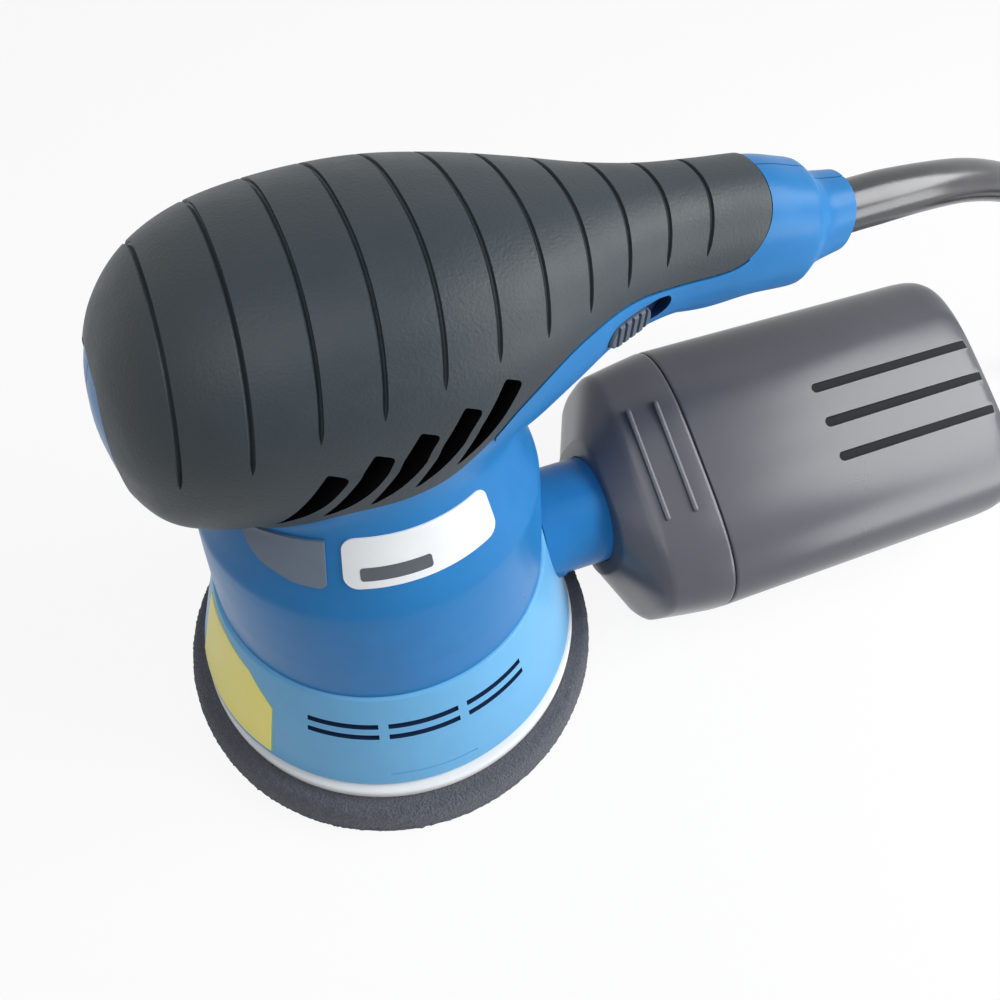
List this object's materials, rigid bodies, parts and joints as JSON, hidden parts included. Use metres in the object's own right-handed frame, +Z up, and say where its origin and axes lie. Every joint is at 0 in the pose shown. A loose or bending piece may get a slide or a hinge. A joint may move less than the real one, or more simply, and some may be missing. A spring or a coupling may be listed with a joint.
{
  "type": "random orbit sander",
  "caption": "Palm-grip random orbit sander with a slotted skirt over a foam pad, ribbed rubber grip, rear handle with slide switch, push-on dust box and mains cord.",
  "frame": {"origin": "motor axis at the underside of the pad", "axes": "+X from the motor axis along the handle to the cord, +Y to the right side, +Z up along the motor axis"},
  "size_m": [0.437, 0.1545, 0.1607],
  "materials": {
    "housing_blue": "satin moulded plastic",
    "skirt_blue": "satin moulded plastic",
    "grip_rubber": "matte with fine grain",
    "thumb_rubber": "matte",
    "label_white": "smooth vinyl",
    "label_yellow": "smooth vinyl",
    "plate_white": "satin",
    "steel": "bright zinc plated",
    "bearing_steel": "ground",
    "lamination_steel": "stacked sheet",
    "weight_iron": "sintered",
    "alloy": "die cast",
    "copper": "enamelled",
    "brass": "stamped",
    "plug_brass": "nickel plated",
    "carbon": "pressed carbon",
    "board_brown": "paper laminate",
    "black_plastic": "satin",
    "black_rubber": "matte",
    "cord_rubber": "matte",
    "capacitor_yellow": "smooth",
    "wire_red": "smooth",
    "box_grey": "satin",
    "filter_paper": "pleated",
    "knob_grey": "satin",
    "pad_foam": "closed-cell foam",
    "loop_fabric": "brushed loops",
    "tie_grey": "woven strap"
  },
  "bodies": {
    "housing": {"left_housing": "housing_blue", "right_housing": "housing_blue", "housing_screws": "steel", "grip_cover": "grip_rubber", "thumb_pads": "thumb_rubber", "rating_plate": "label_white", "side_sticker": "label_yellow", "skirt": "skirt_blue", "skirt_screws": "steel", "brake_ring": "black_plastic", "motor_plate": "alloy", "lower_bearing": "bearing_steel", "stator_core": "lamination_steel", "field_coils": "copper", "brush_plate": "board_brown", "brush_holders": "brass", "carbon_brushes": "carbon", "brush_springs": "steel", "upper_bearing": "bearing_steel", "bearing_sleeve": "black_rubber", "switch_body": "black_plastic", "capacitor": "capacitor_yellow", "inner_wires": "wire_red", "lead_in": "cord_rubber", "cord_clamp": "black_plastic", "clamp_screws": "steel", "cord_boot": "cord_rubber", "cord_tube": "cord_rubber", "cord_coil": "cord_rubber", "cord_tie": "tie_grey", "plug_body": "black_plastic", "plug_pins": "plug_brass"},
    "rotor": {"armature_shaft": "steel", "armature_core": "lamination_steel", "armature_windings": "copper", "commutator": "copper", "cooling_fan": "black_plastic", "eccentric_hub": "steel", "counterweight": "weight_iron", "hub_screw": "steel", "eccentric_bearing": "bearing_steel"},
    "pad": {"pad_spindle": "steel", "spindle_clip": "steel", "backing_plate": "plate_white", "pad_screws": "steel", "foam_pad": "pad_foam", "loop_facing": "loop_fabric"},
    "switch_slider": {"switch_knob": "knob_grey"},
    "seal": {"spout_seal": "black_rubber"},
    "cap": {"dust_cap": "box_grey", "filter_frame": "black_plastic", "filter_element": "filter_paper"},
    "container": {"dust_container": "box_grey"}
  },
  "joints": [
    {"name": "armature_spin", "type": "hinge", "parent": "housing", "child": "rotor", "pos_m": [0, 0, 0], "axis": [0, 0, 1], "continuous": true},
    {"name": "pad_spin", "type": "hinge", "parent": "rotor", "child": "pad", "pos_m": [0, -0.002, 0], "axis": [0, 0, 1], "continuous": true},
    {"name": "switch_slide", "type": "slide", "parent": "housing", "child": "switch_slider", "axis": [0.9397, 0.342, 0], "range_m": [0, 0.006]},
    {"name": "box_turn", "type": "hinge", "parent": "housing", "child": "seal", "pos_m": [0, 0, 0.0355], "axis": [0.999, -0.0436, 0], "continuous": true},
    {"name": "cap_slide", "type": "slide", "parent": "seal", "child": "cap", "axis": [0.999, -0.0436, 0], "range_m": [0, 0.016]},
    {"name": "container_slide", "type": "slide", "parent": "cap", "child": "container", "axis": [0.999, -0.0436, 0], "range_m": [0, 0.012]}
  ]
}
